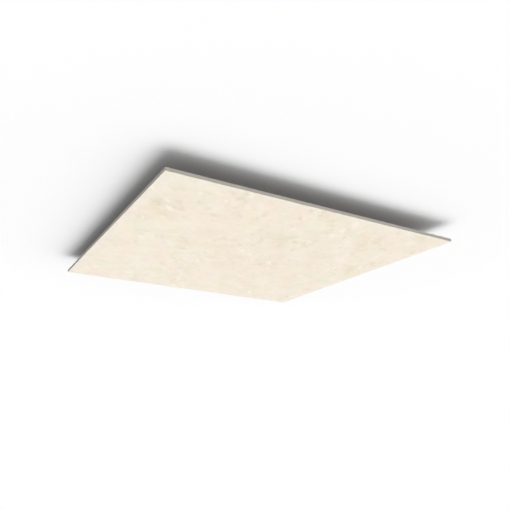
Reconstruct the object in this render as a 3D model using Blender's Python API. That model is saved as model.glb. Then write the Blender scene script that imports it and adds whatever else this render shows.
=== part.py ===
"""A suspended ceiling tile: one flat, square-edged mineral board that hangs level under a ceiling.

The tile is a single solid. Its finished face looks down and lies in the plane Z = 0, its raw back looks
up, and the origin is the middle of the face. Lengths are in metres.
"""

import math

import bmesh
import bpy

# Overall sizes of the board.
TILE_LENGTH = 1.200  # along X
TILE_WIDTH = 1.200  # along Y
BOARD_THICKNESS = 0.012

# Easing of the edges. The finished face has a rounder arris than the sawn back.
FACE_ARRIS_RADIUS = 0.0010
BACK_ARRIS_RADIUS = 0.0005
FACE_CORNER_RADIUS = 0.0008  # what an upright corner keeps where the flat of the face ends

ARRIS_SEGMENTS = 5
CORNER_SEGMENTS = 6
QUARTER_TURN = math.pi / 2

FACE_COLOUR = (0.905, 0.823, 0.701, 1.0)
FACE_ROUGHNESS = 0.92


def clear_scene():
    """Removes what the scene holds at the start."""
    for item in list(bpy.data.objects):
        bpy.data.objects.remove(item, do_unlink=True)


def edge_section():
    """The section of the tile's edge, from the rim of the face to the rim of the back.

    Each point is (inset, height): how far it stands in from the outermost outline, and its height above
    the face. A quarter arc eases the face, the side rises straight, and a smaller arc eases the back.
    """
    section = []
    for step in range(ARRIS_SEGMENTS + 1):
        turn = QUARTER_TURN * step / ARRIS_SEGMENTS
        inset = FACE_ARRIS_RADIUS * (1 - math.sin(turn))
        height = FACE_ARRIS_RADIUS * (1 - math.cos(turn))
        section.append((inset, height))
    for step in range(ARRIS_SEGMENTS + 1):
        turn = QUARTER_TURN * step / ARRIS_SEGMENTS
        inset = BACK_ARRIS_RADIUS * (1 - math.cos(turn))
        height = BOARD_THICKNESS - BACK_ARRIS_RADIUS * (1 - math.sin(turn))
        section.append((inset, height))
    return section


def outline(inset):
    """The tile's outline in plan, moved inwards by inset, anticlockwise seen from above.

    The four corner arcs keep their centres at every inset, so all outlines are parallel to each other.
    """
    outer_radius = FACE_CORNER_RADIUS + max(FACE_ARRIS_RADIUS, BACK_ARRIS_RADIUS)
    centre_x = TILE_LENGTH / 2 - outer_radius
    centre_y = TILE_WIDTH / 2 - outer_radius
    radius = outer_radius - inset
    points = []
    for quarter, (side_x, side_y) in enumerate(((1, 1), (-1, 1), (-1, -1), (1, -1))):
        for step in range(CORNER_SEGMENTS + 1):
            turn = QUARTER_TURN * (quarter + step / CORNER_SEGMENTS)
            x = side_x * centre_x + radius * math.cos(turn)
            y = side_y * centre_y + radius * math.sin(turn)
            points.append((x, y))
    return points


def tile_mesh():
    """Carries the edge section round the outline, and closes it with the face below and the back above."""
    shape = bmesh.new()
    rings = []
    for inset, height in edge_section():
        rings.append([shape.verts.new((x, y, height)) for x, y in outline(inset)])
    shape.faces.new(reversed(rings[0]))
    for lower, upper in zip(rings, rings[1:]):
        for index, corner in enumerate(lower):
            following = (index + 1) % len(lower)
            shape.faces.new((corner, lower[following], upper[following], upper[index]))
    shape.faces.new(rings[-1])
    mesh = bpy.data.meshes.new("ceiling_tile")
    shape.to_mesh(mesh)
    shape.free()
    return mesh


def board_material():
    """Cream mineral board with a matt, slightly porous finish."""
    material = bpy.data.materials.new("cream_mineral_board")
    material.use_nodes = True
    shader = material.node_tree.nodes["Principled BSDF"]
    shader.inputs["Base Color"].default_value = FACE_COLOUR
    shader.inputs["Roughness"].default_value = FACE_ROUGHNESS
    shader.inputs["Metallic"].default_value = 0.0
    return material


def add_tile():
    """The tile itself, with its rounded edges shaded smooth and its flat faces flat."""
    mesh = tile_mesh()
    mesh.materials.append(board_material())
    mesh.shade_smooth()
    mesh.set_sharp_from_angle(angle=math.radians(30))
    tile = bpy.data.objects.new("ceiling_tile", mesh)
    bpy.context.scene.collection.objects.link(tile)
    return tile


clear_scene()
add_tile()
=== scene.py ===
"""Looks of a suspended ceiling tile: a cream, softly mottled board hung below a pale ceiling.

The board is one closed surface worked out with numpy. Its finished face looks down, its raw back looks
up. Lengths are in metres.
"""

import math

import bpy
import numpy as np
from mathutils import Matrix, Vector


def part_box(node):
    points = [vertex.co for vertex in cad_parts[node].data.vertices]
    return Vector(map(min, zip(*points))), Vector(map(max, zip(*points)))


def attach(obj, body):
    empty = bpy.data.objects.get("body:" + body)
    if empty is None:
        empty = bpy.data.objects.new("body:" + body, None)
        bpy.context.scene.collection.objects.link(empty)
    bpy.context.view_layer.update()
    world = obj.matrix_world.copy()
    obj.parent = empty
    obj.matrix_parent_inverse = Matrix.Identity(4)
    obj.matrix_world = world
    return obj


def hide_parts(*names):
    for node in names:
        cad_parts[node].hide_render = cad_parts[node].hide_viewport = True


bl_info = {
    "name": "Suspended ceiling tile",
    "version": (1, 0, 0),
    "blender": (4, 5, 0),
    "location": "3D View > Sidebar > Ceiling tile",
    "description": "Builds a mottled cream ceiling tile and the studio that shows it",
    "category": "Object",
}

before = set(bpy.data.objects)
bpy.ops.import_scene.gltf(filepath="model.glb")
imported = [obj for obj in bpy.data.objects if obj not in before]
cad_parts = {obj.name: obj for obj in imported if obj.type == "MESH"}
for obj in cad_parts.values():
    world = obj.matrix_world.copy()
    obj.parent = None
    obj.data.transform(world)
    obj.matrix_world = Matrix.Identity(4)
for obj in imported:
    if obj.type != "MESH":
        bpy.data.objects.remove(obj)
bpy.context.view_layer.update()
BOARD_NODE = "ceiling_tile"
BOARD_LOW, BOARD_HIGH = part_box(BOARD_NODE)
HALF_LENGTH = (BOARD_HIGH.x - BOARD_LOW.x) / 2
HALF_WIDTH = (BOARD_HIGH.y - BOARD_LOW.y) / 2

MM = 0.001
FACE_SLOT, EDGE_SLOT, BACK_SLOT = range(3)

# Lines of the surface across the face's arris, as shares of its radius
ARRIS_LINES = (0.0, 0.08, 0.25, 0.5, 0.75, 1.0)

# Distance from the edges at which the even grid starts, and level rows of the wall between the two rims
EVEN_GRID_INSET = 3.2 * MM
WALL_ROWS = 3

# The relief starts at the face's arris and has its full depth this much further in
CALM_BAND = 12 * MM

# Spacing (m), share and seed of each layer of soft waves
FACE_WAVES = ((0.11, 0.6, 3), (0.034, 0.4, 5))
BACK_WAVES = ((0.15, 0.7, 7), (0.04, 0.3, 9))

# Scattered hollows, from and to: their middles as shares of a patch, their radii (m) and their strengths
HOLLOW_MIDDLES = (0.15, 0.85)
HOLLOW_RADII = (7 * MM, 15 * MM)
HOLLOW_STRENGTHS = (0.45, 1.0)

# Share of the patches that hold a hollow, weight of the hollows beside the placed specks, and their seed
HOLLOW_SHARE = 0.34
HOLLOW_WEIGHT = 0.6
HOLLOW_SEED = 11

# The coat was drawn along Y turned clockwise by this angle, seen from above
COAT_TURN = math.radians(30)

# How many times further the coat's marks, flecks and soft tones reach that way than across it
MARK_REACH = 1.43
FLECK_REACH = 2.0
TONE_REACH = 4.2

# How the coat's patterns are pushed out of shape: waves in a metre and reach (m) of the push
SOFT_BEND = (22.0, 16 * MM)
FINE_BEND = (60.0, 10 * MM)

# Tone, share of it that no shadow takes away, and distances from the middle (m) between which it whitens
CEILING_FINISH = {"tone": 0.987, "glow": 0.025, "fade_from": 0.9, "fade_to": 1.6}
FLOOR_FINISH = {"tone": 0.98, "glow": 0.5, "fade_from": 1.2, "fade_to": 4.8}

# Radii (m) of the studio's two discs, then their rings, spokes and middle face as a share of the radius
CEILING_RADIUS = 1.7
FLOOR_RADIUS = 5.0
DISC_RINGS = 24
DISC_SPOKES = 96
DISC_MIDDLE = 0.02

# Softness of the horizon and of the key light's rim, as shares of a unit direction
HORIZON_BLUR = 0.03
KEY_BLUR = 0.02

# The world lights nothing past this ray depth, so that its light counts at the first bounce only
LAST_LIT_DEPTH = 2.5

# Angle that the top light fills, seen from the tile
TOP_LIGHT_SPREAD = math.radians(60)

# The face's clearest marks: place along X and Y, half length, half width (m), turn (degrees), strength
MARKS = {
    "olive": (
        (-0.532, -0.355, 0.055, 0.026, 70, 1.0), (-0.477, -0.297, 0.040, 0.024, 30, 0.5),
        (-0.484, -0.411, 0.034, 0.022, 60, 0.6), (-0.340, -0.556, 0.055, 0.024, 15, 1.0),
        (0.015, -0.262, 0.075, 0.044, 60, 0.9), (0.000, -0.560, 0.060, 0.028, 20, 0.9),
        (0.318, -0.392, 0.070, 0.036, 50, 0.9), (0.343, -0.436, 0.060, 0.040, 50, 0.4),
        (0.507, -0.088, 0.060, 0.030, 55, 1.0), (0.525, -0.220, 0.040, 0.028, 50, 0.9),
        (-0.304, -0.068, 0.045, 0.026, 60, 0.7), (0.481, -0.566, 0.048, 0.024, 10, 0.9),
        (-0.132, 0.312, 0.042, 0.026, 60, 0.7), (-0.144, -0.063, 0.070, 0.045, 60, 0.4),
        (-0.115, 0.440, 0.060, 0.035, 60, 0.6), (-0.540, -0.230, 0.035, 0.022, 70, 0.7),
        (-0.440, -0.520, 0.050, 0.026, 10, 0.6), (-0.120, -0.510, 0.060, 0.026, 30, 0.5),
        (0.115, -0.285, 0.060, 0.035, 60, 0.7), (0.240, -0.210, 0.080, 0.050, 50, 0.35),
        (0.130, 0.010, 0.060, 0.035, 50, 0.5), (-0.090, -0.235, 0.060, 0.035, 50, 0.5),
        (0.180, -0.470, 0.060, 0.030, 40, 0.5), (-0.300, -0.585, 0.060, 0.022, 0, 0.9),
        (-0.490, -0.360, 0.040, 0.026, 50, 1.0),
    ),
    "rosy": (
        (-0.160, -0.450, 0.075, 0.050, 70, 0.8), (-0.110, -0.340, 0.040, 0.026, 50, 0.9),
        (0.350, 0.170, 0.085, 0.055, 45, 0.9), (0.135, -0.290, 0.034, 0.022, 40, 1.0),
        (0.540, -0.225, 0.036, 0.026, 30, 1.0), (0.480, 0.500, 0.060, 0.045, 0, 1.0),
        (0.130, 0.510, 0.055, 0.040, 20, 0.8), (-0.555, 0.320, 0.060, 0.034, 80, 1.0),
        (-0.530, 0.095, 0.050, 0.030, 70, 0.9), (0.190, -0.510, 0.040, 0.026, 30, 0.9),
        (0.343, -0.436, 0.070, 0.050, 50, 0.9), (0.437, -0.085, 0.055, 0.040, 50, 0.8),
        (-0.548, -0.266, 0.045, 0.035, 60, 0.8), (-0.430, -0.370, 0.080, 0.060, 40, 0.5),
        (-0.020, 0.468, 0.050, 0.050, 0, 0.5), (0.230, -0.280, 0.070, 0.050, 50, 0.5),
        (-0.050, -0.310, 0.180, 0.110, 40, 0.5), (0.180, -0.270, 0.100, 0.060, 50, 0.4),
    ),
    "pale": (
        (-0.430, 0.120, 0.150, 0.090, 80, 0.35), (-0.370, 0.280, 0.120, 0.070, 70, 1.0),
        (-0.470, -0.040, 0.080, 0.050, 70, 0.4), (-0.290, -0.510, 0.060, 0.034, 10, 0.6),
        (0.275, -0.335, 0.190, 0.030, 47, 0.35), (-0.190, 0.150, 0.060, 0.040, 60, 1.0),
        (-0.340, -0.130, 0.050, 0.035, 60, 1.0), (-0.385, -0.230, 0.060, 0.040, 40, 0.8),
        (-0.425, -0.175, 0.060, 0.024, 60, 0.8), (0.392, -0.177, 0.036, 0.024, 50, 1.0),
        (-0.522, -0.502, 0.044, 0.030, 30, 1.0), (-0.574, -0.358, 0.036, 0.018, 70, 0.9),
        (-0.525, -0.560, 0.070, 0.050, 10, 0.8), (0.290, 0.290, 0.100, 0.050, 60, 0.6),
        (0.430, 0.460, 0.070, 0.060, 0, 0.6), (0.470, -0.500, 0.040, 0.034, 0, 0.7),
        (0.515, -0.395, 0.060, 0.040, 50, 0.8), (0.340, -0.580, 0.060, 0.022, 0, 0.9),
        (-0.500, 0.210, 0.060, 0.040, 60, 1.0), (-0.220, 0.440, 0.050, 0.035, 40, 0.9),
        (-0.590, 0.170, 0.180, 0.024, 90, 1.0), (0.250, -0.570, 0.050, 0.022, 0, 0.9),
        (-0.350, -0.010, 0.050, 0.035, 60, 0.9), (-0.170, 0.030, 0.050, 0.030, 60, 0.8),
        (-0.385, -0.430, 0.050, 0.035, 60, 0.8), (-0.590, -0.200, 0.060, 0.020, 90, 0.9),
        (-0.110, -0.320, 0.040, 0.028, 50, 0.7), (0.270, -0.580, 0.080, 0.022, 0, 0.7),
        (-0.300, -0.530, 0.030, 0.020, 30, 0.8),
    ),
    "green": (
        (0.040, -0.105, 0.070, 0.032, 60, 0.7), (0.195, -0.215, 0.070, 0.045, 40, 0.8),
        (0.410, 0.040, 0.060, 0.045, 30, 0.9), (0.448, 0.215, 0.080, 0.040, 60, 0.8),
        (-0.170, -0.320, 0.055, 0.035, 60, 0.6), (-0.515, 0.205, 0.060, 0.034, 70, 0.5),
        (0.049, -0.355, 0.044, 0.024, 50, 1.0), (0.235, -0.565, 0.044, 0.026, 20, 0.6),
        (-0.574, -0.555, 0.060, 0.045, 45, 1.0), (-0.510, 0.375, 0.050, 0.050, 0, 0.7),
        (0.104, -0.550, 0.050, 0.030, 0, 0.6), (0.350, -0.575, 0.060, 0.022, 0, 0.3),
    ),
    "warm": (
        (-0.260, -0.270, 0.160, 0.090, 60, 0.9), (-0.160, -0.110, 0.150, 0.090, 60, 0.9),
        (-0.060, 0.050, 0.170, 0.100, 60, 1.0), (0.150, 0.100, 0.150, 0.100, 60, 0.8),
        (0.330, 0.030, 0.120, 0.070, 60, 0.7), (0.306, -0.175, 0.100, 0.050, 55, 0.8),
        (0.190, -0.360, 0.080, 0.050, 55, 0.6), (-0.430, -0.400, 0.090, 0.060, 60, 0.6),
        (0.545, -0.545, 0.060, 0.040, 50, 1.0),
    ),
}

# The small dark specks, given in the same way
SPECKS = (
    (-0.145, -0.175, 0.011, 0.009, 0, 0.9), (-0.112, -0.110, 0.018, 0.012, 80, 1.0),
    (0.105, 0.040, 0.016, 0.012, 20, 1.0), (0.160, 0.005, 0.014, 0.011, 0, 0.9),
    (0.028, 0.135, 0.012, 0.010, 0, 0.8), (-0.024, -0.413, 0.014, 0.011, 60, 0.6),
    (0.120, -0.427, 0.013, 0.011, 0, 1.0), (0.087, -0.500, 0.017, 0.012, 0, 1.0),
    (0.427, -0.393, 0.014, 0.011, 0, 1.0), (-0.190, -0.410, 0.012, 0.009, 0, 0.6),
    (-0.330, -0.370, 0.014, 0.010, 0, 0.9), (0.040, -0.215, 0.015, 0.010, 50, 1.0),
    (-0.475, -0.287, 0.016, 0.010, 80, 0.5), (-0.280, 0.015, 0.018, 0.012, 0, 1.0),
    (-0.270, 0.250, 0.022, 0.014, 70, 1.0), (-0.170, 0.262, 0.013, 0.010, 0, 0.8),
)


class BoardSizes(bpy.types.PropertyGroup):
    """Sizes of the board's edges and of the relief of its surfaces."""

    face_arris: bpy.props.FloatProperty(
        name="Face arris", description="Radius of the eased edge round the finished face",
        default=1.0 * MM, min=0.1 * MM, unit="LENGTH",
    )
    back_arris: bpy.props.FloatProperty(
        name="Back arris", description="Radius of the eased edge round the sawn back",
        default=0.5 * MM, min=0.1 * MM, unit="LENGTH",
    )
    corner_radius: bpy.props.FloatProperty(
        name="Corner radius", description="Radius of the four upright corners",
        default=1.8 * MM, min=0.2 * MM, unit="LENGTH",
    )
    grid_step: bpy.props.FloatProperty(
        name="Grid step", description="Distance between the lines of the surface, away from the edges",
        default=6.1 * MM, min=2.0 * MM, unit="LENGTH",
    )
    float_depth: bpy.props.FloatProperty(
        name="Float marks", description="Depth of the soft waves that the float leaves in the face",
        default=0.10 * MM, min=0.0, unit="LENGTH",
    )
    hollow_depth: bpy.props.FloatProperty(
        name="Hollows", description="Depth of the small round hollows in the face",
        default=0.16 * MM, min=0.0, unit="LENGTH",
    )
    hollow_spacing: bpy.props.FloatProperty(
        name="Hollow spacing", description="Side of the square patch that may hold one hollow",
        default=62 * MM, min=30 * MM, unit="LENGTH",
    )
    rim_width: bpy.props.FloatProperty(
        name="Rim width", description="How far the cooler rim reaches in from the face's edges",
        default=26 * MM, min=1.0 * MM, unit="LENGTH",
    )
    back_wave: bpy.props.FloatProperty(
        name="Back waves", description="Depth of the soft waves in the raw back",
        default=0.12 * MM, min=0.0, unit="LENGTH",
    )


class BoardColours(bpy.types.PropertyGroup):
    """Colours of the board's face, edges and back."""

    face: bpy.props.FloatVectorProperty(
        name="Face", description="Middle tone of the finished face",
        default=(0.904, 0.819, 0.693), min=0.0, max=1.0, subtype="COLOR",
    )
    pale: bpy.props.FloatVectorProperty(
        name="Pale patches", description="Cooler, lighter patches of the face",
        default=(0.932, 0.860, 0.748), min=0.0, max=1.0, subtype="COLOR",
    )
    rosy: bpy.props.FloatVectorProperty(
        name="Rosy patches", description="Warmer, rosier patches of the face",
        default=(0.920, 0.801, 0.680), min=0.0, max=1.0, subtype="COLOR",
    )
    green: bpy.props.FloatVectorProperty(
        name="Green patches", description="Slightly greener, duller patches of the face",
        default=(0.880, 0.828, 0.684), min=0.0, max=1.0, subtype="COLOR",
    )
    warm: bpy.props.FloatVectorProperty(
        name="Warm areas", description="Warmer tone of the broad, calm areas of the face",
        default=(0.908, 0.804, 0.672), min=0.0, max=1.0, subtype="COLOR",
    )
    honey: bpy.props.FloatVectorProperty(
        name="Honey patches", description="Small yellower patches of the face",
        default=(0.900, 0.815, 0.632), min=0.0, max=1.0, subtype="COLOR",
    )
    olive: bpy.props.FloatVectorProperty(
        name="Olive marks", description="Olive-brown tone of the clearest marks of the face",
        default=(0.780, 0.700, 0.520), min=0.0, max=1.0, subtype="COLOR",
    )
    speck: bpy.props.FloatVectorProperty(
        name="Specks", description="Brown-grey tone of the specks, hollows and short veins",
        default=(0.62, 0.535, 0.395), min=0.0, max=1.0, subtype="COLOR",
    )
    fleck: bpy.props.FloatVectorProperty(
        name="Flecks", description="Pale tone of the small light flecks",
        default=(0.972, 0.896, 0.780), min=0.0, max=1.0, subtype="COLOR",
    )
    rim: bpy.props.FloatVectorProperty(
        name="Rim", description="Cooler tone of the narrow band along the face's edges",
        default=(0.890, 0.832, 0.740), min=0.0, max=1.0, subtype="COLOR",
    )
    edge: bpy.props.FloatVectorProperty(
        name="Edges", description="Tone of the coated cut edges",
        default=(0.872, 0.820, 0.705), min=0.0, max=1.0, subtype="COLOR",
    )
    edge_warm: bpy.props.FloatVectorProperty(
        name="Edges, warmer", description="Slightly redder tone of some lengths of the edges",
        default=(0.905, 0.805, 0.715), min=0.0, max=1.0, subtype="COLOR",
    )
    edge_olive: bpy.props.FloatVectorProperty(
        name="Edges, olive", description="Slightly greener tone of some lengths of the edges",
        default=(0.838, 0.812, 0.672), min=0.0, max=1.0, subtype="COLOR",
    )
    back: bpy.props.FloatVectorProperty(
        name="Back", description="Middle tone of the raw back",
        default=(0.760, 0.716, 0.640), min=0.0, max=1.0, subtype="COLOR",
    )
    back_pale: bpy.props.FloatVectorProperty(
        name="Back, paler marks", description="Pale scratches and chips of the raw back",
        default=(0.860, 0.830, 0.770), min=0.0, max=1.0, subtype="COLOR",
    )
    back_dark: bpy.props.FloatVectorProperty(
        name="Back, darker fibres", description="Darker fibres and marks of the raw back",
        default=(0.560, 0.505, 0.430), min=0.0, max=1.0, subtype="COLOR",
    )


class StudioSettings(bpy.types.PropertyGroup):
    """The camera, the lights and the two plain surfaces of the studio."""

    camera_place: bpy.props.FloatVectorProperty(
        name="Camera place",
        description="Where the camera stands, lower than the tile and out past its near corner",
        default=(-1.1134, -1.9757, -0.7334), subtype="TRANSLATION", unit="LENGTH",
    )
    camera_turn: bpy.props.FloatProperty(
        name="Camera turn", description="Heading of the camera about the vertical, from +Y",
        default=math.radians(-30.649), subtype="ANGLE",
    )
    camera_tilt: bpy.props.FloatProperty(
        name="Camera tilt", description="How far the camera looks up from the horizontal",
        default=math.radians(18.249), subtype="ANGLE",
    )
    lens: bpy.props.FloatProperty(
        name="Lens", description="Focal length of the camera", default=39.20, unit="CAMERA",
    )
    ceiling_gap: bpy.props.FloatProperty(
        name="Ceiling gap", description="From the tile's back up to the ceiling",
        default=61 * MM, min=0.0, unit="LENGTH",
    )
    floor_drop: bpy.props.FloatProperty(
        name="Floor drop", description="From the tile's face down to the floor",
        default=0.45, min=0.1, unit="LENGTH",
    )
    soft_light: bpy.props.FloatProperty(
        name="Soft light", description="Share of the face's light that comes from everywhere below",
        default=0.63, min=0.0, max=1.0, subtype="FACTOR",
    )
    soft_slope: bpy.props.FloatProperty(
        name="Soft light slope",
        description="How much more of the soft light comes from +X than from the middle",
        default=0.95, min=-1.0, max=1.0,
    )
    key_place: bpy.props.FloatVectorProperty(
        name="Key direction",
        description="Direction from the tile to the middle of the round key light",
        default=(0.223, 0.259, -0.940), subtype="DIRECTION",
    )
    key_spread: bpy.props.FloatProperty(
        name="Key spread", description="Half the angle that the round key light fills, seen from the tile",
        default=math.radians(29), subtype="ANGLE",
    )
    top_light: bpy.props.FloatVectorProperty(
        name="Top light", description="Light from above on a side facing -X, a side facing -Y and the back",
        default=(0.14, 0.06, 0.93), subtype="XYZ",
    )


class Signal:
    """One output of a shader tree. Arithmetic on it adds the Math nodes that work it out."""

    def __init__(self, sheet, socket):
        self.sheet = sheet
        self.socket = socket

    def math(self, operation, first, second):
        """The Math node for one operation on two values."""
        return self.sheet.node("ShaderNodeMath", {"operation": operation}, {0: first, 1: second})

    def __add__(self, other):
        return self.math("ADD", self, other)

    __radd__ = __add__

    def __sub__(self, other):
        return self.math("SUBTRACT", self, other)

    def __rsub__(self, other):
        return self.math("SUBTRACT", other, self)

    def __mul__(self, other):
        return self.math("MULTIPLY", self, other)

    __rmul__ = __mul__

    def __lt__(self, other):
        return self.math("LESS_THAN", self, other)

    def __gt__(self, other):
        return self.math("GREATER_THAN", self, other)

    def __abs__(self):
        return self.math("ABSOLUTE", self, 0.0)


class Sheet:
    """A node tree that is written as expressions."""

    def __init__(self, tree):
        self.tree = tree
        self.tree.nodes.clear()

    def node(self, kind, settings=None, inputs=None, output=0):
        """Adds a node of a kind, sets its settings, then its sockets, and gives the output asked for."""
        made = self.tree.nodes.new(kind)
        for name, value in (settings or {}).items():
            setattr(made, name, value)
        for name, value in (inputs or {}).items():
            if isinstance(value, Signal):
                self.tree.links.new(value.socket, made.inputs[name])
            else:
                made.inputs[name].default_value = value
        return Signal(self, made.outputs[output]) if made.outputs else made

    def noise(self, place, scale, detail=2.0, roughness=0.5, distortion=0.0):
        """Soft noise about 0.5, with this many waves in a metre."""
        return self.node("ShaderNodeTexNoise", None, {
            "Vector": place, "Scale": scale, "Detail": detail, "Roughness": roughness,
            "Distortion": distortion,
        })

    def cells(self, place, scale):
        """Voronoi cells, with this many in a metre: the distance to each cell's middle."""
        return self.node("ShaderNodeTexVoronoi", None, {"Vector": place, "Scale": scale}, "Distance")

    def spots(self, place, scale, share, radius):
        """Ragged spots of uneven size, up to about this radius in metres, in a share of the cells."""
        distance = self.cells(place, scale)
        colour = Signal(self, distance.socket.node.outputs["Color"])
        chance = self.node("ShaderNodeSeparateColor", None, {0: colour}, "Red")
        size = Signal(self, chance.socket.node.outputs["Green"]) * 0.6 + 0.4
        fray = self.noise(place, scale * 4.5, detail=3.0, roughness=0.6) - 0.5
        reach = (size + fray * 3.0) * (radius * scale)
        return self.ease(distance - reach, 0.02, -0.06) * (chance < share)

    def painted(self, name):
        """A value that the piece carries at its points."""
        return self.node("ShaderNodeAttribute", {"attribute_name": name}, output="Fac")

    def bent(self, place, scale, reach):
        """Places pushed about by soft noise, so that the shapes of a pattern turn out uneven."""
        push = self.node("ShaderNodeTexNoise", None, {"Vector": place, "Scale": scale}, "Color")
        return self.node("ShaderNodeVectorMath", {"operation": "MULTIPLY_ADD"}, {
            0: push, 1: (reach, reach, 0.0), 2: place,
        })

    def ease(self, value, start, end):
        """0 up to start, 1 from end, and a smooth step between."""
        return self.node("ShaderNodeMapRange", {"interpolation_type": "SMOOTHSTEP"}, {
            "Value": value, "From Min": start, "From Max": end,
        })

    def mix(self, share, first, second):
        """A colour that goes from first to second as share goes from 0 to 1."""
        return self.node("ShaderNodeMix", {"data_type": "RGBA"}, {0: share, 6: first, 7: second}, 2)

    def scaled(self, colour, factor):
        """A colour made lighter or darker by a factor that varies."""
        return self.node("ShaderNodeVectorMath", {"operation": "SCALE"}, {0: colour, "Scale": factor})

    def raised(self, colour, amount):
        """A colour with the same amount added to red, green and blue, so that it pales as it lightens."""
        return self.node("ShaderNodeVectorMath", {"operation": "ADD"}, {0: colour, 1: amount})

    def drawn(self, place, angle, reach):
        """Places for a pattern drawn out this many times along Y turned clockwise by the angle."""
        return self.node("ShaderNodeMapping", {"vector_type": "TEXTURE"}, {
            "Vector": place, "Rotation": (0.0, 0.0, -angle), "Scale": (1.0, reach, 1.0),
        })

    def moved(self, place, offset=(0.0, 0.0, 0.0), squeeze=(1.0, 1.0, 1.0)):
        """Places squeezed and then moved, so that a pattern stretches or differs from another."""
        return self.node("ShaderNodeMapping", {"vector_type": "POINT"}, {
            "Vector": place, "Location": offset, "Scale": squeeze,
        })


def rgba(colour):
    """A colour property with full cover."""
    return (*colour, 1.0)


def new_finish(name):
    """A new material, its sheet of nodes and the places on the piece, in metres."""
    material = bpy.data.materials.new(name)
    material.use_nodes = True
    sheet = Sheet(material.node_tree)
    place = sheet.node("ShaderNodeTexCoord", output="Object")
    return material, sheet, place


def close_finish(sheet, colour, roughness, height, depth):
    """Ends a sheet in a matt Principled shader with a bump of the given height pattern and depth."""
    bump = sheet.node("ShaderNodeBump", None, {"Strength": 1.0, "Distance": depth, "Height": height})
    shader = sheet.node("ShaderNodeBsdfPrincipled", None, {
        "Base Color": colour, "Roughness": roughness, "Normal": bump,
    })
    sheet.node("ShaderNodeOutputMaterial", None, {"Surface": shader})


def coat_tones(sheet, place, colours):
    """The coat's colour before any mark: cream with soft clouds and tints.

    They reach far the way that the coat was drawn, and are weaker where it is warm or pale.
    """
    washed = sheet.bent(sheet.drawn(place, COAT_TURN, TONE_REACH), *SOFT_BEND)
    cloud = sheet.noise(washed, 3.6, detail=3.0, roughness=0.5)
    tint = sheet.noise(sheet.moved(washed, (3.1, 7.7, 0.0)), 15.0, detail=2.0)
    honey = sheet.noise(sheet.moved(washed, (8.8, 4.4, 0.0)), 12.0, detail=3.0, roughness=0.5)
    lively = (1.0 - sheet.painted("warm") * 0.7) * (1.0 - sheet.painted("pale") * 0.4)
    colour = sheet.mix(sheet.ease(cloud, 0.42, 0.62) * 0.5, rgba(colours.face), rgba(colours.pale))
    colour = sheet.mix(sheet.ease(tint, 0.52, 0.66) * lively * 0.95, colour, rgba(colours.rosy))
    colour = sheet.mix(sheet.ease(tint, 0.48, 0.34) * lively * 0.95, colour, rgba(colours.green))
    return sheet.mix(sheet.ease(honey, 0.50, 0.66) * lively * 0.8, colour, rgba(colours.honey))


def placed_marks(sheet, place, colours, colour, fine_fray):
    """A colour with the placed marks and then the rim laid over it. Noise frays the marks."""
    fray = sheet.noise(sheet.moved(place, (5.2, 0.9, 0.0)), 17.0, detail=4.0)
    broad_fray = sheet.ease(fray, 0.36, 0.62)
    for name in ("warm", "pale", "green", "rosy"):
        share = sheet.painted(name) * (broad_fray * 0.5 + 0.45)
        colour = sheet.mix(share, colour, rgba(getattr(colours, name)))
    share = sheet.painted("olive") * (fine_fray * 0.5 + 0.3)
    colour = sheet.mix(share, colour, rgba(colours.olive))
    return sheet.mix(sheet.painted("rim") * 0.6, colour, rgba(colours.rim))


def face_finish(colours):
    """The coat of the face: its tones and placed marks, then mottle, specks, short veins and grain."""
    material, sheet, place = new_finish("cream_face_coat")
    drawn = sheet.drawn(place, COAT_TURN, MARK_REACH)
    bent = sheet.bent(drawn, *SOFT_BEND)
    ragged = sheet.bent(bent, *FINE_BEND)
    flecked = sheet.bent(sheet.bent(sheet.drawn(place, COAT_TURN, FLECK_REACH), *SOFT_BEND), *FINE_BEND)
    drift = sheet.noise(sheet.moved(bent, (9.4, 2.3, 0.0)), 15.0, detail=2.5, roughness=0.6)
    mottle = sheet.noise(sheet.moved(drawn, (1.7, 5.9, 0.0)), 32.0, detail=2.5, roughness=0.6)
    grain = sheet.noise(place, 900.0, detail=2.0, roughness=0.7)
    fray = sheet.ease(sheet.noise(sheet.moved(place, (7.3, 2.9, 0.0)), 42.0, detail=3.0), 0.40, 0.60)
    ridge = abs(sheet.noise(sheet.moved(place, (4.2, 1.1, 0.0)), 11.0, detail=4.0, distortion=0.6) - 0.5)
    stretch = sheet.noise(sheet.moved(place, (6.6, 3.8, 0.0)), 8.0, detail=1.0)
    veins = (1.0 - sheet.ease(ridge, 0.0, 0.030)) * sheet.ease(stretch, 0.54, 0.62) * fray
    chips = sheet.spots(ragged, 15.0, 0.28, 21 * MM)
    crumbs = sheet.spots(sheet.moved(ragged, (2.6, 6.1, 0.0)), 32.0, 0.16, 11 * MM)
    flecks = sheet.spots(sheet.moved(flecked, (5.5, 1.3, 0.0)), 26.0, 0.26, 13 * MM)
    pores = sheet.ease(sheet.cells(place, 190.0), 0.24, 0.10)
    calm = 1.0 - sheet.painted("pale") * 0.6
    colour = coat_tones(sheet, place, colours)
    colour = placed_marks(sheet, place, colours, colour, fray)
    colour = sheet.raised(colour, (mottle - 0.5) * 0.09 + (drift - 0.5) * 0.13)
    colour = sheet.mix(veins * 0.24 + sheet.painted("hollow") * 0.30, colour, rgba(colours.speck))
    colour = sheet.mix((chips * 0.19 + crumbs * 0.25) * calm + pores * 0.06, colour, rgba(colours.speck))
    colour = sheet.mix(flecks * 0.8, colour, rgba(colours.fleck))
    colour = sheet.scaled(colour, 1.0 + (grain - 0.5) * 0.06)
    roughness = 0.90 + (mottle - 0.5) * 0.14 + pores * 0.05
    height = grain * 0.18 + mottle * 0.5 - pores * 0.7 - chips * 0.6 - crumbs * 0.5 - veins * 0.4
    close_finish(sheet, colour, roughness, height, 0.25 * MM)
    return material


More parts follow.
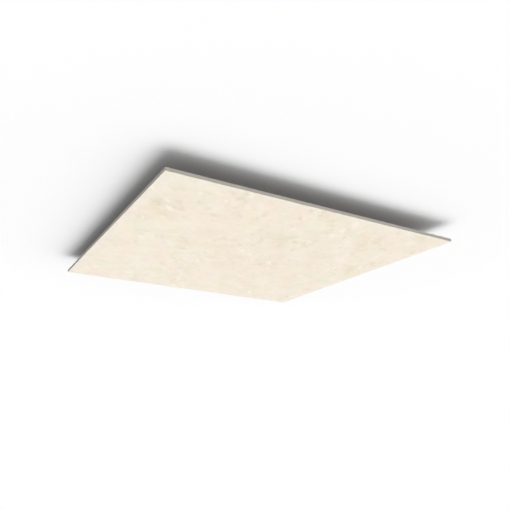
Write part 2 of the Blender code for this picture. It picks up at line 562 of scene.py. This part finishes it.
def edge_finish(colours):
    """The cut edges: the coat, thinner and greyer, with warm and olive lengths and fine saw lines."""
    material, sheet, place = new_finish("coated_cut_edge")
    tone = sheet.noise(place, 22.0, detail=3.0)
    tint = sheet.noise(sheet.moved(place, (5.7, 2.2, 0.0)), 12.0, detail=2.0)
    lines = sheet.noise(sheet.moved(place, squeeze=(0.02, 0.02, 1.0)), 1500.0, detail=2.0)
    crumbs = 1.0 - sheet.ease(sheet.cells(place, 260.0), 0.12, 0.30)
    chips = sheet.spots(sheet.bent(place, 140.0, 3 * MM), 60.0, 0.22, 4 * MM)
    colour = sheet.mix(sheet.ease(tint, 0.52, 0.66) * 0.5, rgba(colours.edge), rgba(colours.edge_warm))
    colour = sheet.mix(sheet.ease(tint, 0.48, 0.34) * 0.5, colour, rgba(colours.edge_olive))
    colour = sheet.scaled(colour, 0.99 + (tone - 0.5) * 0.10 + (lines - 0.5) * 0.07)
    colour = sheet.mix(crumbs * 0.18 + chips * 0.20, colour, rgba(colours.speck))
    roughness = 0.93 + (tone - 0.5) * 0.08
    height = lines * 0.5 + tone * 0.3 - crumbs * 0.8 - chips * 0.6
    close_finish(sheet, colour, roughness, height, 0.2 * MM)
    return material


def back_finish(colours):
    """The raw back: beige board with fibres along X, press bands, sanding scratches and pores."""
    material, sheet, place = new_finish("raw_board_back")
    bent = sheet.bent(place, 14.0, 20 * MM)
    along = sheet.moved(bent, squeeze=(0.12, 1.0, 1.0))
    scored = sheet.moved(place, (0.4, 0.9, 0.0), squeeze=(0.035, 1.0, 1.0))
    clouds = sheet.noise(bent, 4.0, detail=4.0, roughness=0.6)
    stains = sheet.noise(sheet.moved(bent, (2.9, 5.3, 0.0)), 9.0, detail=3.0, roughness=0.55)
    fibres = sheet.noise(along, 210.0, detail=4.0, roughness=0.65)
    bands = sheet.noise(sheet.moved(place, squeeze=(0.03, 1.0, 1.0)), 14.0, detail=2.0)
    scratches = sheet.ease(abs(sheet.noise(scored, 95.0, detail=3.0) - 0.5), 0.02, 0.0)
    pores = sheet.spots(bent, 58.0, 0.32, 4.5 * MM)
    chips = sheet.spots(sheet.bent(bent, 90.0, 8 * MM), 24.0, 0.26, 11 * MM)
    grain = sheet.noise(place, 800.0, detail=2.0, roughness=0.7)
    dark, pale = rgba(colours.back_dark), rgba(colours.back_pale)
    colour = sheet.scaled(tuple(colours.back), 1.0 + (clouds - 0.5) * 0.34 + (bands - 0.5) * 0.22)
    colour = sheet.mix(sheet.ease(stains, 0.50, 0.68) * 0.30, colour, dark)
    colour = sheet.mix(sheet.ease(fibres, 0.50, 0.72) * 0.45 + pores * 0.40, colour, dark)
    colour = sheet.mix(scratches * 0.25 + chips * 0.35, colour, pale)
    colour = sheet.scaled(colour, 1.0 + (grain - 0.5) * 0.12)
    roughness = 0.95 + (clouds - 0.5) * 0.06
    height = fibres * 0.7 + grain * 0.2 + bands * 0.4 - pores * 0.8 - scratches * 0.3
    close_finish(sheet, colour, roughness, height, 0.3 * MM)
    return material


def soft_waves(x, y, spacing, seed):
    """A smooth random surface between -1 and 1.

    Random heights stand on a square lattice with the given spacing. Between them the height follows the
    quintic ease 6t^5 - 15t^4 + 10t^3 along X and along Y.
    """
    columns = int(2 * HALF_LENGTH / spacing) + 3
    rows = int(2 * HALF_WIDTH / spacing) + 3
    lattice = np.random.default_rng(seed).uniform(-1.0, 1.0, (columns, rows))
    u = (x + HALF_LENGTH) / spacing + 0.5
    v = (y + HALF_WIDTH) / spacing + 0.5
    i, j = u.astype(int), v.astype(int)
    s, t = u - i, v - j
    s = s * s * s * (s * (s * 6 - 15) + 10)
    t = t * t * t * (t * (t * 6 - 15) + 10)
    near = lattice[i, j] * (1 - s) + lattice[i + 1, j] * s
    far = lattice[i, j + 1] * (1 - s) + lattice[i + 1, j + 1] * s
    return near * (1 - t) + far * t


def hollows(x, y, spacing, seed):
    """Small round hollows, up to 1 at their middle and 0 outside.

    The plane is cut into square patches. About one patch in three holds a hollow with a random place,
    radius r and strength. At the distance d from its middle it is its strength times (1 - (d/r)^2)^2.
    """
    source = np.random.default_rng(seed)
    columns = int(2 * HALF_LENGTH / spacing) + 4
    rows = int(2 * HALF_WIDTH / spacing) + 4
    middle_u = source.uniform(*HOLLOW_MIDDLES, (columns, rows))
    middle_v = source.uniform(*HOLLOW_MIDDLES, (columns, rows))
    radius = source.uniform(*HOLLOW_RADII, (columns, rows)) / spacing
    holds_one = source.uniform(0, 1, (columns, rows)) < HOLLOW_SHARE
    strength = source.uniform(*HOLLOW_STRENGTHS, (columns, rows)) * holds_one
    u = (x + HALF_LENGTH) / spacing + 1
    v = (y + HALF_WIDTH) / spacing + 1
    deepest = np.zeros_like(x)
    for step_u in (-1, 0, 1):
        for step_v in (-1, 0, 1):
            i = np.clip(u.astype(int) + step_u, 0, columns - 1)
            j = np.clip(v.astype(int) + step_v, 0, rows - 1)
            distance = np.hypot(u - i - middle_u[i, j], v - j - middle_v[i, j]) / radius[i, j]
            bowl = np.clip(1 - distance ** 2, 0, 1) ** 2 * strength[i, j]
            deepest = np.maximum(deepest, bowl)
    return deepest


def soft_marks(x, y, marks):
    """Soft oval marks, the strongest where they overlap.

    In the mark's own turned axes, a mark is its strength times exp(-(a/length)^2 - (b/width)^2).
    """
    strongest = np.zeros_like(x)
    for middle_x, middle_y, length, width, turn, strength in marks:
        cosine, sine = math.cos(math.radians(turn)), math.sin(math.radians(turn))
        along = (x - middle_x) * cosine + (y - middle_y) * sine
        across = (y - middle_y) * cosine - (x - middle_x) * sine
        mark = strength * np.exp(-(along / length) ** 2 - (across / width) ** 2)
        strongest = np.maximum(strongest, mark)
    return strongest


def grid_lines(half, sizes):
    """Places of the grid's lines across the board: close together at both edges, even between them."""
    close = [share * sizes.face_arris for share in ARRIS_LINES]
    close = np.array(close + [sizes.corner_radius, EVEN_GRID_INSET])
    steps = int(round(2 * (half - close[-1]) / sizes.grid_step))
    even = np.linspace(-half + close[-1], half - close[-1], steps + 1)
    return np.concatenate([-half + close[:-1], even, (half - close[:-1])[::-1]])


def rounded(x, y, radius):
    """Turns the square rings round each corner into arcs.

    Inside the square of the corner radius, a point at (a, b) from the arc's middle goes to the same
    direction at the distance max(a, b).
    """
    out_x = np.maximum(np.abs(x) - (HALF_LENGTH - radius), 0)
    out_y = np.maximum(np.abs(y) - (HALF_WIDTH - radius), 0)
    ring = np.maximum(out_x, out_y)
    reach = np.hypot(out_x, out_y)
    pull = np.where(reach > 0, ring / np.where(reach > 0, reach, 1), 1)
    in_corner = (out_x > 0) & (out_y > 0)
    new_x = np.where(in_corner, np.sign(x) * (HALF_LENGTH - radius + out_x * pull), x)
    new_y = np.where(in_corner, np.sign(y) * (HALF_WIDTH - radius + out_y * pull), y)
    return new_x, new_y


def arris_rise(inset, radius):
    """Height of a quarter-round arris above the flat: r - sqrt(r^2 - (r - inset)^2), and 0 past r."""
    within = np.clip(radius - inset, 0, radius)
    return radius - np.sqrt(radius ** 2 - within ** 2)


def rim_of(ids):
    """The ids round the border of a grid of ids, anticlockwise seen from above."""
    return np.concatenate([ids[:-1, 0], ids[-1, :-1], ids[:0:-1, -1], ids[0, :0:-1]])


def quads_between(first, second, third, fourth):
    """Four arrays of corner ids as one list of quads."""
    return np.stack([first, second, third, fourth], axis=-1).reshape(-1, 4)


def wave_height(x, y, waves):
    """Soft waves of several spacings as one height from 0 to 1: (the sum of share * wave, plus 1) / 2."""
    total = sum(soft_waves(x, y, spacing, seed) * share for spacing, share, seed in waves)
    return (total + 1) / 2


def board_heights(x, y, inset, sizes):
    """Heights of the face and of the back over the plan, and how deep in a hollow each point lies.

    Each height follows its arris at the edge. The relief on it grows by 3t^2 - 2t^3 over the calm band.
    """
    calm = np.clip((inset - sizes.face_arris) / CALM_BAND, 0, 1)
    calm = calm * calm * (3 - 2 * calm)
    scattered = hollows(x, y, sizes.hollow_spacing, HOLLOW_SEED) * HOLLOW_WEIGHT
    hollow = np.maximum(scattered, soft_marks(x, y, SPECKS)) * calm
    face_relief = sizes.float_depth * wave_height(x, y, FACE_WAVES) + sizes.hollow_depth * hollow
    back_relief = sizes.back_wave * wave_height(x, y, BACK_WAVES)
    face_z = BOARD_LOW.z + arris_rise(inset, sizes.face_arris) + face_relief * calm
    back_z = BOARD_HIGH.z - arris_rise(inset, sizes.back_arris) - back_relief * calm
    return face_z, back_z, hollow


def board_surface(sizes):
    """The whole board as (points, quads, slot of each quad, named values of each point).

    The face and the back are heights over one grid of X and Y lines, and a wall of level rows joins
    their rims. The rim's value is exp(-(d/width)^2) at the distance d from the edge.
    """
    x, y = np.meshgrid(grid_lines(HALF_LENGTH, sizes), grid_lines(HALF_WIDTH, sizes), indexing="ij")
    inset = np.minimum(HALF_LENGTH - np.abs(x), HALF_WIDTH - np.abs(y))
    face_z, back_z, hollow = board_heights(x, y, inset, sizes)
    plan_x, plan_y = rounded(x, y, sizes.corner_radius)

    count = x.size
    face_ids = np.arange(count).reshape(x.shape)
    rim = rim_of(face_ids)
    rows = np.linspace(0, 1, WALL_ROWS + 2)[1:-1]
    wall_low = BOARD_LOW.z + sizes.face_arris
    wall_high = BOARD_HIGH.z - sizes.back_arris
    wall_x = np.tile(plan_x.ravel()[rim], len(rows))
    wall_y = np.tile(plan_y.ravel()[rim], len(rows))
    wall_z = np.repeat(wall_low + (wall_high - wall_low) * rows, len(rim))
    back_ids = face_ids + count + len(wall_x)
    points = np.concatenate([
        np.stack([plan_x.ravel(), plan_y.ravel(), face_z.ravel()], axis=1),
        np.stack([wall_x, wall_y, wall_z], axis=1),
        np.stack([plan_x.ravel(), plan_y.ravel(), back_z.ravel()], axis=1),
    ])

    face_quads = quads_between(face_ids[:-1, :-1], face_ids[:-1, 1:], face_ids[1:, 1:], face_ids[1:, :-1])
    back_quads = quads_between(back_ids[:-1, :-1], back_ids[1:, :-1], back_ids[1:, 1:], back_ids[:-1, 1:])
    wall_ids = count + np.arange(len(wall_x)).reshape(len(rows), len(rim))
    levels = np.concatenate([rim[None, :], wall_ids, rim_of(back_ids)[None, :]])
    following = np.roll(levels, -1, axis=1)
    wall_quads = quads_between(levels[:-1], following[:-1], following[1:], levels[1:])
    quads = np.concatenate([face_quads, wall_quads, back_quads])
    slots = np.concatenate([
        np.full(len(face_quads), FACE_SLOT), np.full(len(wall_quads), EDGE_SLOT),
        np.full(len(back_quads), BACK_SLOT),
    ])
    values = {"hollow": hollow, "rim": np.exp(-(inset / sizes.rim_width) ** 2)}
    for name, marks in MARKS.items():
        values[name] = soft_marks(x, y, marks)
    values = {name: np.pad(value.ravel(), (0, len(points) - count)) for name, value in values.items()}
    return points, quads, slots, values


def new_piece(name, points, quads, slots, finishes):
    """A mesh object at the origin from points, quads and the finish of each quad, shaded smooth."""
    mesh = bpy.data.meshes.new(name)
    mesh.vertices.add(len(points))
    mesh.vertices.foreach_set("co", points.astype(np.float32).ravel())
    mesh.loops.add(quads.size)
    mesh.loops.foreach_set("vertex_index", quads.astype(np.int32).ravel())
    mesh.polygons.add(len(quads))
    mesh.polygons.foreach_set("loop_start", np.arange(0, quads.size, 4, dtype=np.int32))
    mesh.polygons.foreach_set("material_index", slots.astype(np.int32))
    mesh.update(calc_edges=True)
    mesh.shade_smooth()
    for finish in finishes:
        mesh.materials.append(finish)
    piece = bpy.data.objects.new(name, mesh)
    bpy.context.scene.collection.objects.link(piece)
    return piece


class CEILINGTILE_OT_board(bpy.types.Operator):
    """Makes the board with its face, edges and back"""

    bl_idname = "ceiling_tile.board"
    bl_label = "Make the board"

    def execute(self, context):
        sizes = context.scene.board_sizes
        colours = context.scene.board_colours
        points, quads, slots, values = board_surface(sizes)
        finishes = [face_finish(colours), edge_finish(colours), back_finish(colours)]
        board = new_piece("board", points, quads, slots, finishes)
        for name, value in values.items():
            attribute = board.data.attributes.new(name, "FLOAT", "POINT")
            attribute.data.foreach_set("value", value.astype(np.float32))
        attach(board, "root")
        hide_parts(BOARD_NODE)
        return {"FINISHED"}


def disc(name, height, radius, looks_up):
    """A flat round surface whose front side looks up or down: points (r cos a, r sin a, height)."""
    rings = np.linspace(DISC_MIDDLE, 1, DISC_RINGS) * radius
    spokes = np.linspace(0, 2 * math.pi, DISC_SPOKES, endpoint=False)
    reach, turn = np.meshgrid(rings, spokes, indexing="ij")
    ids = np.arange(reach.size).reshape(reach.shape)
    points = np.stack([reach * np.cos(turn), reach * np.sin(turn), np.full(reach.shape, height)], axis=-1)
    after = np.roll(ids, -1, axis=1)
    quads = quads_between(ids[:-1], ids[1:], after[1:], after[:-1])
    mesh = bpy.data.meshes.new(name)
    order = 1 if looks_up else -1
    faces = quads[:, ::order].tolist() + [ids[0, ::order].tolist()]
    mesh.from_pydata(points.reshape(-1, 3).tolist(), [], faces)
    made = bpy.data.objects.new(name, mesh)
    bpy.context.scene.collection.objects.link(made)
    return made


def plain_finish(name, tone, glow, fade_from, fade_to):
    """A plain pale surface that takes shadows, turns white towards its rim and shows only its front.

    Glow is the share of its tone that no shadow takes away. It lights nothing else.
    """
    material, sheet, place = new_finish(name)
    reach = sheet.node("ShaderNodeVectorMath", {"operation": "LENGTH"}, {0: place}, "Value")
    faded = sheet.ease(reach, fade_from, fade_to)
    behind = sheet.node("ShaderNodeNewGeometry", output="Backfacing")
    level, white = tone * (1 - glow), (1.0, 1.0, 1.0, 1.0)
    matt = sheet.node("ShaderNodeBsdfDiffuse", None, {"Color": (level, level, level, 1.0)})
    glowing = sheet.node("ShaderNodeEmission", None, {"Color": white, "Strength": tone * glow})
    pale = sheet.node("ShaderNodeAddShader", None, {0: matt, 1: glowing})
    blank = sheet.node("ShaderNodeEmission", None, {"Color": white, "Strength": 1.0})
    front = sheet.node("ShaderNodeMixShader", None, {0: faded, 1: pale, 2: blank})
    clear = sheet.node("ShaderNodeBsdfTransparent")
    shown = sheet.node("ShaderNodeMixShader", None, {0: behind, 1: front, 2: clear})
    sheet.node("ShaderNodeOutputMaterial", None, {"Surface": shown})
    material.cycles.emission_sampling = "NONE"
    return material


def seen_by_camera_only(made):
    """Keeps a surface of the studio out of the light that falls on the board."""
    made.visible_diffuse = False
    made.visible_glossy = False
    made.visible_transmission = False
    made.visible_shadow = False


def studio_world(settings):
    """White for the camera, and light from below for the board and the ceiling, without its bounces.

    The soft light is a * (1 + slope * x) for a ray in the direction (x, y, z) with z below 0. The key
    light is a round patch of even light. Together they light the face with a strength of about 1.
    """
    world = bpy.data.worlds.new("studio")
    world.use_nodes = True
    sheet = Sheet(world.node_tree)
    towards = sheet.node("ShaderNodeTexCoord", output="Generated")
    parts = sheet.node("ShaderNodeSeparateXYZ", None, {0: towards}, "X").socket.node
    x, z = (Signal(sheet, parts.outputs[axis]) for axis in "XZ")
    key = sheet.node(
        "ShaderNodeVectorMath", {"operation": "DOT_PRODUCT"}, {0: towards, 1: settings.key_place}, "Value",
    )
    rim = math.cos(settings.key_spread)
    key_level = (1 - settings.soft_light) / (math.sin(settings.key_spread) ** 2 * -settings.key_place[2])
    below = 1.0 - sheet.ease(z, -HORIZON_BLUR, 0.0)
    soft = below * (1.0 + x * settings.soft_slope) * settings.soft_light
    light = soft + sheet.ease(key, rim - KEY_BLUR, rim + KEY_BLUR) * key_level
    path = sheet.node("ShaderNodeLightPath").socket.node
    camera, glossy, through = (
        Signal(sheet, path.outputs[name])
        for name in ("Is Camera Ray", "Is Glossy Ray", "Is Transmission Ray")
    )
    first = Signal(sheet, path.outputs["Ray Depth"]) < LAST_LIT_DEPTH
    seen = (camera + glossy + through) > 0.5
    strength = light * first * (1.0 - seen) + seen
    shine = sheet.node("ShaderNodeBackground", None, {"Color": (1.0, 1.0, 1.0, 1.0), "Strength": strength})
    sheet.node("ShaderNodeOutputWorld", None, {"Surface": shine})
    world.cycles.sampling_method = "NONE"
    bpy.context.scene.world = world


def top_light(settings):
    """A broad lamp high above, on the camera's side. It lights the back, the near edges and the floor.

    No light that has bounced comes from it, so the lit back doesn't fill the shadow on the ceiling.
    """
    lamp = bpy.data.lights.new("top_light", "SUN")
    strength = Vector((-settings.top_light[0], -settings.top_light[1], settings.top_light[2]))
    lamp.energy = strength.length * math.pi
    lamp.angle = TOP_LIGHT_SPREAD
    lamp.cycles.max_bounces = 0
    made = bpy.data.objects.new("top_light", lamp)
    made.rotation_euler = strength.to_track_quat("Z", "Y").to_euler()
    bpy.context.scene.collection.objects.link(made)


def studio_camera(settings):
    """The camera, lower than the tile and out past its near corner, looking up."""
    camera = bpy.data.objects.new("camera", bpy.data.cameras.new("camera"))
    camera.data.lens = settings.lens
    camera.location = settings.camera_place
    camera.rotation_euler = (math.pi / 2 + settings.camera_tilt, 0.0, settings.camera_turn)
    bpy.context.scene.collection.objects.link(camera)
    bpy.context.scene.camera = camera


class CEILINGTILE_OT_studio(bpy.types.Operator):
    """Makes the pale ceiling and floor, the soft light and the camera"""

    bl_idname = "ceiling_tile.studio"
    bl_label = "Make the studio"

    def execute(self, context):
        settings = context.scene.studio_settings
        ceiling_height = BOARD_HIGH.z + settings.ceiling_gap
        ceiling = disc("pale_ceiling", ceiling_height, CEILING_RADIUS, looks_up=False)
        ceiling.data.materials.append(plain_finish("ceiling_white", **CEILING_FINISH))
        seen_by_camera_only(ceiling)
        floor_height = BOARD_LOW.z - settings.floor_drop
        floor = disc("pale_floor", floor_height, FLOOR_RADIUS, looks_up=True)
        floor.data.materials.append(plain_finish("floor_off_white", **FLOOR_FINISH))
        seen_by_camera_only(floor)
        studio_world(settings)
        top_light(settings)
        studio_camera(settings)
        context.scene.view_settings.view_transform = "Standard"
        return {"FINISHED"}


class CEILINGTILE_PT_panel(bpy.types.Panel):
    """Lists the steps and the values of the ceiling tile"""

    bl_idname = "CEILINGTILE_PT_panel"
    bl_label = "Ceiling tile"
    bl_space_type = "VIEW_3D"
    bl_region_type = "UI"
    bl_category = "Ceiling tile"

    def draw(self, context):
        layout = self.layout
        for group_name in GROUPS:
            group = getattr(context.scene, group_name)
            box = layout.box()
            for name in group.bl_rna.properties.keys():
                if name not in ("rna_type", "name"):
                    box.prop(group, name)
        for step in STEPS:
            layout.operator(step.bl_idname)


STEPS = (CEILINGTILE_OT_board, CEILINGTILE_OT_studio)
GROUPS = {
    "board_sizes": BoardSizes,
    "board_colours": BoardColours,
    "studio_settings": StudioSettings,
}


def register():
    """Adds the property groups, the operators and the panel to Blender."""
    for name, group in GROUPS.items():
        bpy.utils.register_class(group)
        setattr(bpy.types.Scene, name, bpy.props.PointerProperty(type=group))
    for step in STEPS:
        bpy.utils.register_class(step)
    bpy.utils.register_class(CEILINGTILE_PT_panel)


def unregister():
    """Takes them out again, in the opposite order."""
    bpy.utils.unregister_class(CEILINGTILE_PT_panel)
    for step in reversed(STEPS):
        bpy.utils.unregister_class(step)
    for name, group in reversed(GROUPS.items()):
        delattr(bpy.types.Scene, name)
        bpy.utils.unregister_class(group)


def main():
    """Builds the board and the studio."""
    register()
    bpy.ops.ceiling_tile.board()
    bpy.ops.ceiling_tile.studio()


if __name__ == "__main__":
    main()
